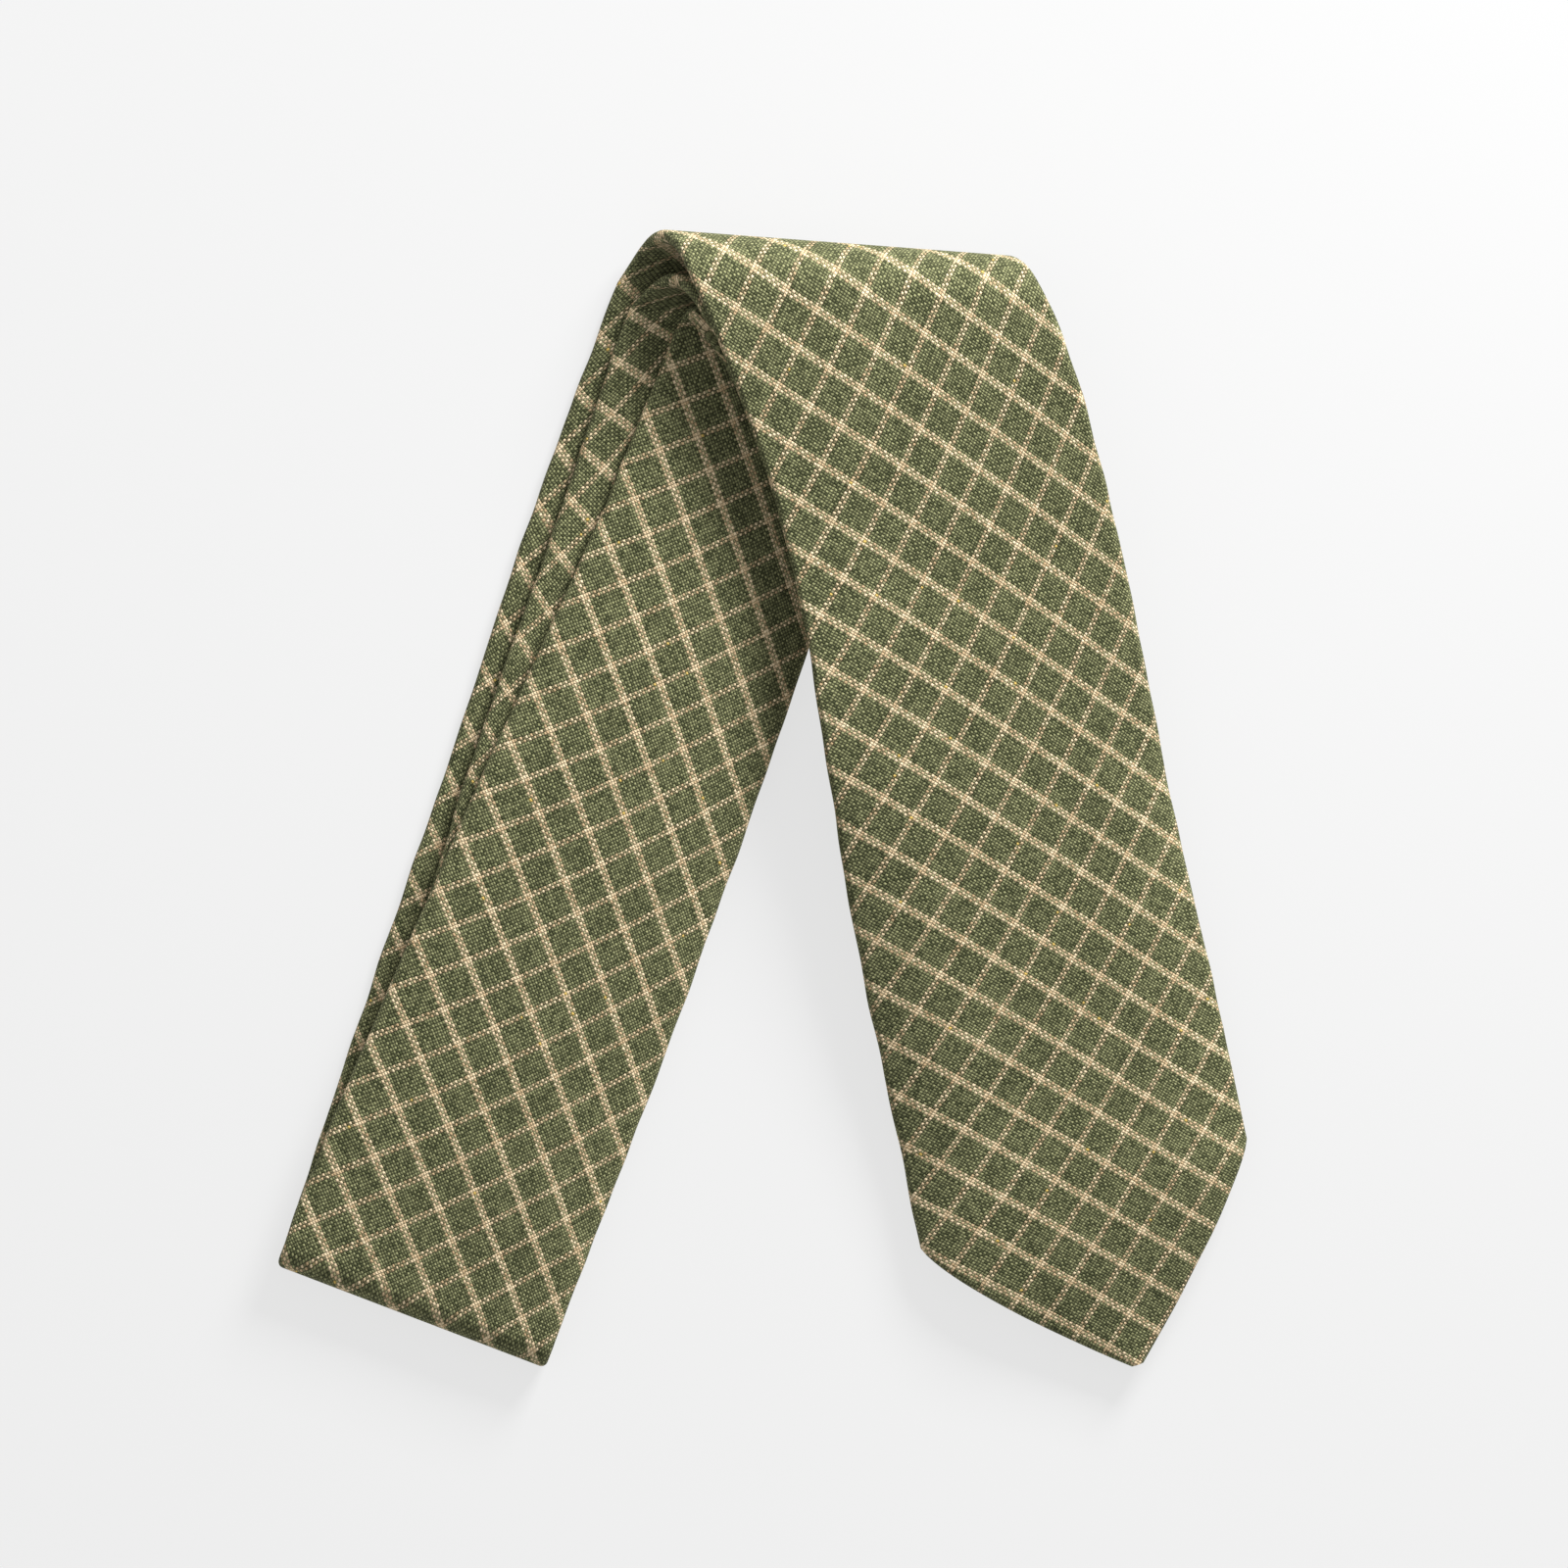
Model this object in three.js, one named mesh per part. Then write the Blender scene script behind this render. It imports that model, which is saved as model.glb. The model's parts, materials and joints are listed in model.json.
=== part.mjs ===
// Folded necktie: one long tapered strip of checked cotton, lined with wool, folded in three and then
// bent over once into an upside-down V. Millimetres, +Z up, resting on its back, origin under its middle.
//
// The strip has six straight runs, three in each leg, joined by five folds. From the blade's tip:
//   right leg, top    -> outer apex fold  -> left leg, bottom -> toe fold  -> left leg, top
//   -> inner apex fold -> right leg, bottom -> heel fold -> right leg, middle
//   -> middle apex fold -> left leg, middle, where the tail's tip ends.
import * as THREE from 'three';

// ---- make-up of one layer of the strip ----
const cloth = 0.6;          // shell cloth
const wool = 1.2;           // interlining
const clearance = 0.3;      // between pieces that touch
const layerGap = 0.4;       // between two layers that lie on each other
const keeperRoom = 1.2;     // extra room under the blade, for the keeper loop and the label
const layer = 2 * cloth + wool + 2 * clearance;
const pitch = layer + layerGap;

// ---- the fold at the apex ----
const creaseTilt = -4.3;    // degrees, the crease's turn from the X axis
const foldSetback = [0, 9.6, 16.6];   // how far the outer, middle and inner folds lie from the apex
const foldFacets = 10;

// ---- the two legs; distances run square to the crease, from the apex down ----
const legSpread = 0.39;     // sideways drift of the right leg's centre line for each mm of distance
const legStraighten = 0.00026;
const leftSpread = 0.375;
const leftStraighten = 0.00023;
const creaseFlat = 24;      // rows stay parallel to the crease down to here
const rowsSquare = 110;     // and stand square to the leg from here on
const bladeTip = 248.4;
const bladePoint = 40.4;    // length of the blade's pointed end
const pointBulge = 1.22;    // above 1, the edges of a point swell outwards on their way to its tip
const bladeCorner = bladeTip - bladePoint;
const heelShort = 34.4;     // how far short of the blade's tip the neck turns back
const heelDistance = bladeTip - heelShort;
const toeDistance = 247.2;
const tailTip = 212;
const tailTipLength = 20;
const bladeHinge = 62;      // where the blade lifts
const seamDistance = 120;   // seam between neck and tail, on the middle run

// ---- the blade's back ----
const backSeamHalf = 0.45;  // half the gap between the two back flaps
const bladeHem = 9;         // cloth turned under along the tip's edges
const bladeOpening = bladeTip - 106.4;   // distance at which the back flaps begin to part
const tailHem = 6;
const tailOpening = tailTip - 42;
const tippingThickness = 0.3;
const threadHalf = 0.15;
const keeperWidth = 50;
const keeperLength = 12;
const keeperThickness = 0.5;
const labelWidth = 30;
const labelLength = 14;
const labelThickness = 0.3;
const bandSpacing = 20;      // keeper loop to label; the two share the middle of the blade's closed seam
const keeperDistance = (bladeHinge + bladeOpening - bandSpacing) / 2;
const labelDistance = keeperDistance + bandSpacing;
const tackLength = 3;
const rowStep = 10;         // spacing of the sections along a run

// ---- small helpers ----
const radians = (degrees) => (degrees * Math.PI) / 180;
const lerp = THREE.MathUtils.lerp;
const smoothstep = THREE.MathUtils.smoothstep;

// A smooth curve through a short list of [distance, value].
function through(points, at) {
  const last = points.length - 1;
  if (at <= points[0][0]) return points[0][1];
  if (at >= points[last][0]) return points[last][1];
  const slope = (i) => {
    const a = points[Math.max(i - 1, 0)];
    const b = points[Math.min(i + 1, last)];
    return i === 0 || i === last ? 0 : (b[1] - a[1]) / (b[0] - a[0]);
  };
  const i = points.findIndex((p) => p[0] > at) - 1;
  const span = points[i + 1][0] - points[i][0];
  const f = (at - points[i][0]) / span;
  const h = f * f * (3 - 2 * f);
  const rise = span * (slope(i) * f * (1 - f) ** 2 - slope(i + 1) * (1 - f) * f ** 2);
  return lerp(points[i][1], points[i + 1][1], h) + rise;
}

// A point given by its place along the crease, its distance down from the apex and its height.
const tilt = radians(creaseTilt);
function place(across, down, height) {
  const x = across * Math.cos(tilt) + down * Math.sin(tilt);
  const y = across * Math.sin(tilt) - down * Math.cos(tilt);
  return new THREE.Vector3(x, y, height);
}

// ---- legs: each gives its centre line, the turn of its rows, and how high its underside stands ----
const liftHeight = 3 * pitch;   // the right leg lies on the three layers of the left one
// as [distance, share of that height]: the soft folds hold it open at the apex
const liftLeft = [[0, 1.3], [24, 1.3], [45, 1.16], [70, 1.06], [95, 1.03], [150, 0.5], [200, 0]];
const liftRight = [[0, 1.3], [24, 1.3], [45, 1.1], [70, 0.86], [95, 0.64], [150, 0.22], [200, 0]];
const liftSpan = 76;            // the two lifts are those of the leg's edges, this far apart

const rightLeg = {
  centre: (down) => legSpread * down - legStraighten * down * down,
  slope: (down) => legSpread - 2 * legStraighten * down,
  turn: (down) => 17.8 * smoothstep(down, creaseFlat, rowsSquare)
    + 5.1 * smoothstep(down, 150, bladeCorner),
  lift: (down, side) => {
    const f = side / liftSpan + 0.5;
    return liftHeight * lerp(through(liftLeft, down), through(liftRight, down), f);
  },
};

const leftLeg = {
  centre: (down) => -(leftSpread * down - leftStraighten * down * down),
  slope: (down) => -(leftSpread - 2 * leftStraighten * down),
  turn: (down) => -16.6 * smoothstep(down, creaseFlat, rowsSquare),
  lift: () => 0,
};

// ---- runs: leg, height of the layer's middle over the leg's underside, which way the face looks, ----
// ---- width square to the leg, and sideways offset from the leg's centre line ----
const middle = layer / 2;
const bladeLevel = 2 * pitch + keeperRoom + middle;
const foldReach = (rise) => rise / 2 + middle;   // outer radius of a fold between layers this far apart

const runs = {
  bladeFront: {
    leg: rightLeg, level: bladeLevel, face: 1,
    width: [[0, 75], [20, 74.7], [60, 72], [110, 74.4], [180, 76.6]],
    offset: [[0, 1.5], [20, 3.9], [45, 5.1], [70, 4.7], [100, 2.5], [135, 0.1], [180, -0.3]],
    droop: (down) => 5 * smoothstep(down, heelDistance - 12, bladeTip + 10),
    corner: bladeCorner, tip: bladeTip, tipOffset: 4.9, bulge: pointBulge,
    opening: bladeOpening, hem: bladeHem,
  },
  bladeBack: {
    leg: leftLeg, level: middle, face: -1,
    width: [[0, 74.5], [30, 71], [60, 68], [120, 67.6], [185, 66.2], [toeDistance, 64.6]],
    offset: [[0, -6.1], [30, -6.5], [60, -6.2], [90, -4.7], [120, -2.5], [155, -1.1], [toeDistance, 0]],
  },
  bladeTop: {
    leg: leftLeg, level: 2 * pitch + middle, face: 1,
    width: [[0, 51], [60, 52.5], [100, 56.7], [125, 59.3], [185, 63.4], [toeDistance, 64.6]],
    offset: [[0, -1], [30, -0.3], [60, 1.2], [100, 2.5], [150, 2.5], [185, 1.9], [toeDistance, 0]],
  },
  neckUnder: {
    leg: rightLeg, level: middle, face: -1,
    width: [[0, 51], [100, 46], [heelDistance, 40]],
    offset: [[17, -13.5], [30, -8.6], [70, -4], [140, 0]],
  },
  middleRun: {
    leg: rightLeg, level: pitch + middle, face: 1,
    width: [[0, 39], [heelDistance, 40]],
    offset: [[16, -17], [30, -12], [70, -5], [140, 0]],
  },
  tailEnd: {
    leg: leftLeg, level: pitch + middle, face: -1,
    width: [[0, 39], [100, 40], [tailTip, 42]],
    offset: [[16, -19.3], [40, -17.2], [60, -15.1], [80, -13.5], [125, -10.9], [tailTip, -5]],
    corner: tailTip - tailTipLength, tip: tailTip, tipOffset: 0,
    opening: tailOpening, hem: tailHem,
  },
};

// Where one run's section lies: the two ends of its row, measured from the leg's centre line.
function row(run, down) {
  const { leg } = run;
  const cut = run.corner === undefined ? down : Math.min(down, run.corner);
  const skew = Math.atan(Math.abs(leg.slope(cut))) - Math.abs(radians(leg.turn(cut)));
  const half = through(run.width, cut) / 2 / Math.cos(skew);
  const offset = through(run.offset, cut);
  if (down <= cut) return { left: offset - half, right: offset + half };
  const f = ((down - run.corner) / (run.tip - run.corner)) ** (run.bulge ?? 1);
  const point = offset + run.tipOffset;
  return { left: lerp(offset - half, point, f), right: lerp(offset + half, point, f) };
}

// Half the gap between the back flaps: a seam, opening to the hemmed point at a tip.
function backGap(run, down) {
  if (run.opening === undefined || down < run.opening) return backSeamHalf;
  const { left, right } = row(run, down);
  const spread = (right - left) / 2 - run.hem;
  const opened = spread * Math.min(1, (down - run.opening) / (run.corner - run.opening) + 0.04);
  return Math.max(backSeamHalf, opened);
}

// A point on a run: side is measured along the row, out is height over the layer's middle, to the face.
function onRun(run, down, side, out) {
  const { leg } = run;
  const turn = radians(leg.turn(down));
  const across = leg.centre(down) + side * Math.cos(turn);
  const droop = run.droop ? run.droop(down) : 0;
  const height = leg.lift(down, side) + run.level + run.face * out - droop;
  return place(across, down - side * Math.sin(turn), height);
}

// ---- sections across the strip, as [side, out] points from the row's two ends ----
const shellSection = ({ left, right }, gap) => {
  const mid = (left + right) / 2;
  const top = middle;
  const under = middle - cloth;
  return [
    [left, -top], [left, top], [right, top], [right, -top], [mid + gap, -top], [mid + gap, -under],
    [right - cloth, -under], [right - cloth, under], [left + cloth, under], [left + cloth, -under],
    [mid - gap, -under], [mid - gap, -top],
  ];
};

const flatSection = (from, to, low, high) => [[from, low], [from, high], [to, high], [to, low]];

const woolSection = ({ left, right }) => {
  const inset = cloth + clearance;
  return flatSection(left + inset, right - inset, -wool / 2, wool / 2);
};

const backLevel = -middle + cloth / 2;   // middle of the back flaps' thickness

const threadSection = ({ left, right }) => {
  const mid = (left + right) / 2;
  return flatSection(mid - threadHalf, mid + threadHalf, backLevel - threadHalf, backLevel + threadHalf);
};

// ---- from a list of rings to one closed body ----
function sweep(name, material, rings, section) {
  const count = section.length;
  const points = rings.flat();
  const faces = [];
  for (let i = 0; i + 1 < rings.length; i += 1) {
    for (let j = 0; j < count; j += 1) {
      const next = (j + 1) % count;
      const a = i * count + j;
      const b = i * count + next;
      // Every layer's facets are cut the same way, from left to right, so that twisted layers nest.
      if (section[j][0] < section[next][0]) {
        faces.push([a, b, b + count], [a, b + count, a + count]);
      } else {
        faces.push([a, b, a + count], [b, b + count, a + count]);
      }
    }
  }
  const contour = section.map(([side, out]) => new THREE.Vector2(side, out));
  const clockwise = THREE.ShapeUtils.isClockWise(contour);
  const end = (rings.length - 1) * count;
  for (const triangle of THREE.ShapeUtils.triangulateShape(contour, [])) {
    const flipped = THREE.ShapeUtils.isClockWise(triangle.map((i) => contour[i])) !== clockwise;
    const [a, b, c] = flipped ? triangle.reverse() : triangle;
    faces.push([a, c, b], [a + end, b + end, c + end]);
  }
  const volume = faces.reduce((sum, [a, b, c]) => {
    const edge = points[b].clone().cross(points[c]);
    return sum + points[a].dot(edge);
  }, 0);
  if (volume < 0) faces.forEach((face) => face.reverse());
  const geometry = new THREE.BufferGeometry().setFromPoints(points);
  geometry.setIndex(faces.flat());
  geometry.computeVertexNormals();
  const mesh = new THREE.Mesh(geometry, material);
  mesh.name = name;
  return mesh;
}

// Distances of the sections of a stretch of a run, on the same grid for every layer of the leg.
function stations(from, to, extra = []) {
  const list = [from, to, ...extra.filter((d) => d > from && d < to)];
  for (let d = rowStep; d < to; d += rowStep) {
    if (d > from && list.every((other) => Math.abs(other - d) > rowStep / 4)) list.push(d);
  }
  return list.sort((a, b) => a - b);
}

// A piece along a run, from one distance to another; shape gives its section at each distance.
function along(name, material, run, from, to, shape) {
  const list = stations(from, to, [run.corner, run.opening]);
  const sections = list.map(shape);
  const rings = list.map((down, i) => sections[i].map(([side, out]) => onRun(run, down, side, out)));
  return sweep(name, material, rings, sections[0]);
}

const shellAlong = (name, material, run, from, to) =>
  along(name, material, run, from, to, (down) => shellSection(row(run, down), backGap(run, down)));

const woolAlong = (name, run, from, to) =>
  along(name, interlining, run, from, to, (down) => woolSection(row(run, down)));

const threadAlong = (name, run, from, to) =>
  along(name, thread, run, from, to, (down) => threadSection(row(run, down)));

// A fold between two runs: half a turn about a line parallel to their rows.
// away is the fold's outward direction, 1 towards the apex or -1 towards the far end.
function fold(name, material, low, high, down, away, faceOut, shape) {
  const lowRow = row(low, down);
  const highRow = row(high, down);
  const pivot = low.leg.centre(down);
  const shift = high.leg.centre(down) - pivot;
  const turn = radians(low.leg.turn(down));
  const lowHeight = low.level + low.leg.lift(down, 0);
  const highHeight = high.level + high.leg.lift(down, 0);
  const axis = (lowHeight + highHeight) / 2;
  const radius = (highHeight - lowHeight) / 2;
  const sections = [];
  const rings = [];
  for (let k = 0; k <= foldFacets; k += 1) {
    const f = k / foldFacets;
    const angle = Math.PI * (f - 0.5);
    const section = shape({
      left: lerp(lowRow.left, highRow.left + shift, f),
      right: lerp(lowRow.right, highRow.right + shift, f),
    });
    sections.push(section);
    rings.push(section.map(([side, out]) => {
      const reach = radius + faceOut * out;
      const step = away * reach * Math.cos(angle);
      const across = pivot + side * Math.cos(turn) - step * Math.sin(turn);
      const below = down - side * Math.sin(turn) - step * Math.cos(turn);
      return place(across, below, axis + reach * Math.sin(angle));
    }));
  }
  return sweep(name, material, rings, sections[0]);
}

const shellFold = (name, material, low, high, down, away, faceOut) =>
  fold(name, material, low, high, down, away, faceOut, (ends) => shellSection(ends, backSeamHalf));

const woolFold = (name, low, high, down, away, faceOut) =>
  fold(name, interlining, low, high, down, away, faceOut, woolSection);

// ---- materials ----
const finish = (color, roughness) => new THREE.MeshStandardMaterial({ color, roughness, metalness: 0 });
const checkedCotton = finish('#6f7d4e', 0.95);
const neckCotton = finish('#687648', 0.95);
const tailCotton = finish('#63713f', 0.95);
const interlining = finish('#d8d2c4', 1);
const liningCloth = finish('#55633a', 0.7);
const thread = finish('#7d8a5c', 0.8);
const labelCloth = finish('#e6dfc8', 0.8);

// ---- where runs end and folds begin ----
const {
  bladeFront, bladeBack, bladeTop, neckUnder, middleRun, tailEnd,
} = runs;
const apexLift = rightLeg.lift(0, 0);
const outerFold = foldSetback[0] + foldReach(apexLift + bladeFront.level - bladeBack.level);
const middleFold = foldSetback[1] + foldReach(apexLift + middleRun.level - tailEnd.level);
const innerFold = foldSetback[2] + foldReach(apexLift + neckUnder.level - bladeTop.level);
const toeFold = toeDistance - foldReach(bladeTop.level - bladeBack.level);
const heelFold = heelDistance - foldReach(middleRun.level - neckUnder.level);
const bluntEnd = 1.2;                  // a tip stops this far short of its point
const half = clearance / 2;            // each of two pieces that meet stops this far short
const bladeEnd = bladeTip - bluntEnd;
const tailPoint = tailTip - bluntEnd;
const woolSetback = 5;                 // the interlining stops this far short of a tip

// ---- the shell: blade, neck and tail, each a stretch of checked cotton sewn to the next ----
const shells = [
  shellAlong('blade_shell_lower', checkedCotton, bladeFront, bladeHinge + half, bladeEnd),
  shellAlong('blade_shell_upper', checkedCotton, bladeFront, outerFold + half, bladeHinge - half),
  shellFold('blade_shell_apex_fold', checkedCotton, bladeBack, bladeFront, outerFold - half, 1, 1),
  shellAlong('blade_shell_back', checkedCotton, bladeBack, outerFold + half, toeFold - half),
  shellFold('blade_shell_toe_fold', checkedCotton, bladeBack, bladeTop, toeFold + half, -1, 1),
  shellAlong('blade_shell_top', checkedCotton, bladeTop, innerFold + half, toeFold - half),
  shellFold('blade_shell_inner_fold', checkedCotton, bladeTop, neckUnder, innerFold - half, 1, -1),
  shellAlong('neck_shell_under', neckCotton, neckUnder, innerFold + half, heelFold - half),
  shellFold('neck_shell_heel_fold', neckCotton, neckUnder, middleRun, heelFold + half, -1, 1),
  shellAlong('neck_shell_middle', neckCotton, middleRun, seamDistance + half, heelFold - half),
  shellAlong('tail_shell_middle', tailCotton, middleRun, middleFold + half, seamDistance - half),
  shellFold('tail_shell_apex_fold', tailCotton, tailEnd, middleRun, middleFold - half, 1, 1),
  shellAlong('tail_shell_end', tailCotton, tailEnd, middleFold + half, tailPoint),
];

// ---- the wool interlining inside it ----
const wools = [
  woolAlong('interlining_blade', bladeFront, bladeHinge + half, bladeTip - woolSetback),
  woolAlong('interlining_blade_upper', bladeFront, outerFold + half, bladeHinge - half),
  woolFold('interlining_apex_fold', bladeBack, bladeFront, outerFold - half, 1, 1),
  woolAlong('interlining_back', bladeBack, outerFold + half, toeFold - half),
  woolFold('interlining_toe_fold', bladeBack, bladeTop, toeFold + half, -1, 1),
  woolAlong('interlining_top', bladeTop, innerFold + half, toeFold - half),
  woolFold('interlining_inner_fold', bladeTop, neckUnder, innerFold - half, 1, -1),
  woolAlong('interlining_under', neckUnder, innerFold + half, heelFold - half),
  woolFold('interlining_heel_fold', neckUnder, middleRun, heelFold + half, -1, 1),
  woolAlong('interlining_middle', middleRun, middleFold + half, heelFold - half),
  woolFold('interlining_middle_fold', tailEnd, middleRun, middleFold - half, 1, 1),
  woolAlong('interlining_tail', tailEnd, middleFold + half, tailTip - woolSetback),
];

// ---- tippings: the lining sewn into the open back of each point ----
const tippingReach = 4;                // where the flaps have parted enough for the tipping to show

const tipping = (name, run, until) =>
  along(name, liningCloth, run, run.opening + tippingReach * 2, until, (down) => {
    const { left, right } = row(run, down);
    const mid = (left + right) / 2;
    const reach = backGap(run, down) - clearance;
    const spread = Math.max(reach, threadHalf);
    return flatSection(mid - spread, mid + spread, backLevel - tippingThickness / 2,
      backLevel + tippingThickness / 2);
  });

// ---- bar tacks: the knot of thread where the back flaps part ----
const tack = (name, run) =>
  along(name, thread, run, run.opening + clearance, run.opening + clearance + tackLength, (down) => {
    const { left, right } = row(run, down);
    const mid = (left + right) / 2;
    const reach = backGap(run, down) - clearance;
    return flatSection(mid - reach, mid + reach, backLevel - threadHalf, backLevel + threadHalf);
  });

// ---- bands lying on the blade's back: keeper loop and label ----
const backBand = (name, material, from, length, width, thickness) =>
  along(name, material, bladeFront, from, from + length, (down) => {
    const { left, right } = row(bladeFront, down);
    const mid = (left + right) / 2;
    const face = -middle - clearance;
    return flatSection(mid - width / 2, mid + width / 2, face - thickness, face);
  });

const trims = [
  tipping('blade_tipping', bladeFront, bladeTip - 4 * woolSetback),
  tipping('tail_tipping', tailEnd, tailTip - 3 * woolSetback),
  tack('blade_bar_tack', bladeFront),
  tack('tail_bar_tack', tailEnd),
  backBand('keeper_loop', checkedCotton, keeperDistance, keeperLength, keeperWidth, keeperThickness),
  backBand('blank_label', labelCloth, labelDistance, labelLength, labelWidth, labelThickness),
  threadAlong('slip_stitch_blade', bladeFront, bladeHinge + half, bladeFront.opening - half),
  threadAlong('slip_stitch_upper', bladeFront, outerFold + half, bladeHinge - half),
  threadAlong('slip_stitch_back', bladeBack, outerFold + half, toeFold - half),
  threadAlong('slip_stitch_top', bladeTop, innerFold + half, toeFold - half),
  threadAlong('slip_stitch_under', neckUnder, innerFold + half, heelFold - half),
  threadAlong('slip_stitch_middle', middleRun, middleFold + half, heelFold - half),
  threadAlong('slip_stitch_tail', tailEnd, middleFold + half, tailEnd.opening - half),
];

// ---- the necktie, its origin under the middle of its outline ----
const necktie = new THREE.Group();
necktie.add(...shells, ...wools, ...trims);
const outline = new THREE.Box3().setFromObject(necktie, true);
const centre = outline.getCenter(new THREE.Vector3());
necktie.position.set(-centre.x, -centre.y, -outline.min.z);

export default necktie;
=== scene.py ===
import json
import math
from functools import partial

import bpy
import numpy as np
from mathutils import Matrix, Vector, noise


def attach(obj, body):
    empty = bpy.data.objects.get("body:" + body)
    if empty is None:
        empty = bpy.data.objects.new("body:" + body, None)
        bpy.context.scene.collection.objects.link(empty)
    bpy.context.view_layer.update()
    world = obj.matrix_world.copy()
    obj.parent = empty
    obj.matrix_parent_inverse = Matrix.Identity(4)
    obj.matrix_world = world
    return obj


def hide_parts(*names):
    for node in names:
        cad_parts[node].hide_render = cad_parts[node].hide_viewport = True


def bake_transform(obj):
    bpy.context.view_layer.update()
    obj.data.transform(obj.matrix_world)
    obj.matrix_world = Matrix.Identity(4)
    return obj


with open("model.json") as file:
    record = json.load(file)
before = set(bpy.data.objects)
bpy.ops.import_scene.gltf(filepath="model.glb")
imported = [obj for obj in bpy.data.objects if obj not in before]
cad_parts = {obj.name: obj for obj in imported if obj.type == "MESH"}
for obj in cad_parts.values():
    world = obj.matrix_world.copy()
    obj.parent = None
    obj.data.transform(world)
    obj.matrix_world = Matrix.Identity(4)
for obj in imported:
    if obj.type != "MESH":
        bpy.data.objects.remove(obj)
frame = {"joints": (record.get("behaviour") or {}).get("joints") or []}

scene = bpy.context.scene
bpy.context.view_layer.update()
mm = 0.001

# The tie is one long strip with six straight runs and five folds. Every run and fold is laid out below in
# millimetres, as the frame has it: across along the apex crease, down away from it, and height.
makeUp = {"cloth": 0.6, "wool": 1.2, "clearance": 0.3, "layerGap": 0.4, "keeperRoom": 1.2}
layer = 2 * makeUp["cloth"] + makeUp["wool"] + 2 * makeUp["clearance"]
pitch = layer + makeUp["layerGap"]
middle = layer / 2

crease = {"tilt": -4.3, "setback": (0, 9.6, 16.6)}   # degrees; how far each of the three apex folds lies back
legs = {
    "right": {"spread": 0.39, "straighten": 0.00026, "turns": ((24, 110, 17.8), (150, 208, 5.1)),
              "liftLeft": ((0, 1.3), (24, 1.3), (45, 1.16), (70, 1.06), (95, 1.03), (150, 0.5), (200, 0)),
              "liftRight": ((0, 1.3), (24, 1.3), (45, 1.1), (70, 0.86), (95, 0.64), (150, 0.22), (200, 0))},
    "left": {"spread": -0.375, "straighten": -0.00023, "turns": ((24, 110, -16.6),)},
}
liftHeight = 3 * pitch
liftSpan = 76
toeDistance = 247.2
heelDistance = 214
tailTip = 212
bladeTip = 248.4

runs = {
    "bladeFront": {"leg": "right", "level": 2 * pitch + makeUp["keeperRoom"] + middle, "face": 1,
                   "width": ((0, 75), (20, 74.7), (60, 72), (110, 74.4), (180, 76.6)),
                   "offset": ((0, 1.5), (20, 3.9), (45, 5.1), (70, 4.7), (100, 2.5), (135, 0.1), (180, -0.3)),
                   "droop": (202, 255, 5), "corner": 208, "tip": bladeTip, "tipOffset": 4.9, "bulge": 1.22,
                   "opening": 142, "hem": 9},
    "bladeBack": {"leg": "left", "level": middle, "face": -1,
                  "width": ((0, 74.5), (30, 71), (60, 68), (120, 67.6), (185, 66.2), (toeDistance, 64.6)),
                  "offset": ((0, -6.1), (30, -6.5), (60, -6.2), (90, -4.7), (120, -2.5), (155, -1.1),
                             (toeDistance, 0))},
    "bladeTop": {"leg": "left", "level": 2 * pitch + middle, "face": 1,
                 "width": ((0, 51), (60, 52.5), (100, 56.7), (125, 59.3), (185, 63.4), (toeDistance, 64.6)),
                 "offset": ((0, -1), (30, -0.3), (60, 1.2), (100, 2.5), (150, 2.5), (185, 1.9),
                            (toeDistance, 0))},
    "neckUnder": {"leg": "right", "level": middle, "face": -1,
                  "width": ((0, 51), (100, 46), (heelDistance, 40)),
                  "offset": ((17, -13.5), (30, -8.6), (70, -4), (140, 0))},
    "middleRun": {"leg": "right", "level": pitch + middle, "face": 1,
                  "width": ((0, 39), (heelDistance, 40)),
                  "offset": ((16, -17), (30, -12), (70, -5), (140, 0))},
    "tailEnd": {"leg": "left", "level": pitch + middle, "face": -1,
                "width": ((0, 39), (100, 40), (tailTip, 42)),
                "offset": ((16, -19.3), (40, -17.2), (60, -15.1), (80, -13.5), (125, -10.9), (tailTip, -5)),
                "corner": tailTip - 20, "tip": tailTip, "tipOffset": 0, "opening": 170, "hem": 6},
}


def through(points, at):
    # a smooth curve through a short list of (distance, value)
    last = len(points) - 1
    if at <= points[0][0]:
        return points[0][1]
    if at >= points[last][0]:
        return points[last][1]

    def slope(k):
        if k in (0, last):
            return 0
        return (points[k + 1][1] - points[k - 1][1]) / (points[k + 1][0] - points[k - 1][0])

    i = max(k for k in range(last) if points[k][0] <= at)
    span = points[i + 1][0] - points[i][0]
    f = (at - points[i][0]) / span
    h = f * f * (3 - 2 * f)
    rise = span * (slope(i) * f * (1 - f) ** 2 - slope(i + 1) * (1 - f) * f ** 2)
    return points[i][1] * (1 - h) + points[i + 1][1] * h + rise


def smooth(value, low, high):
    f = np.clip((np.asarray(value, float) - low) / (high - low), 0, 1)
    return f * f * (3 - 2 * f)


def centreLine(leg, down):
    return legs[leg]["spread"] * down - legs[leg]["straighten"] * down * down


def rowTurn(leg, down):
    return math.radians(sum(t * smooth(down, low, high) for low, high, t in legs[leg]["turns"]))


def lift(leg, down, side):
    # the right leg climbs over the left one near the apex and lies down beside it further on
    if "liftLeft" not in legs[leg]:
        return 0.0
    f = side / liftSpan + 0.5
    left, right = through(legs[leg]["liftLeft"], down), through(legs[leg]["liftRight"], down)
    return liftHeight * (left * (1 - f) + right * f)


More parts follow.
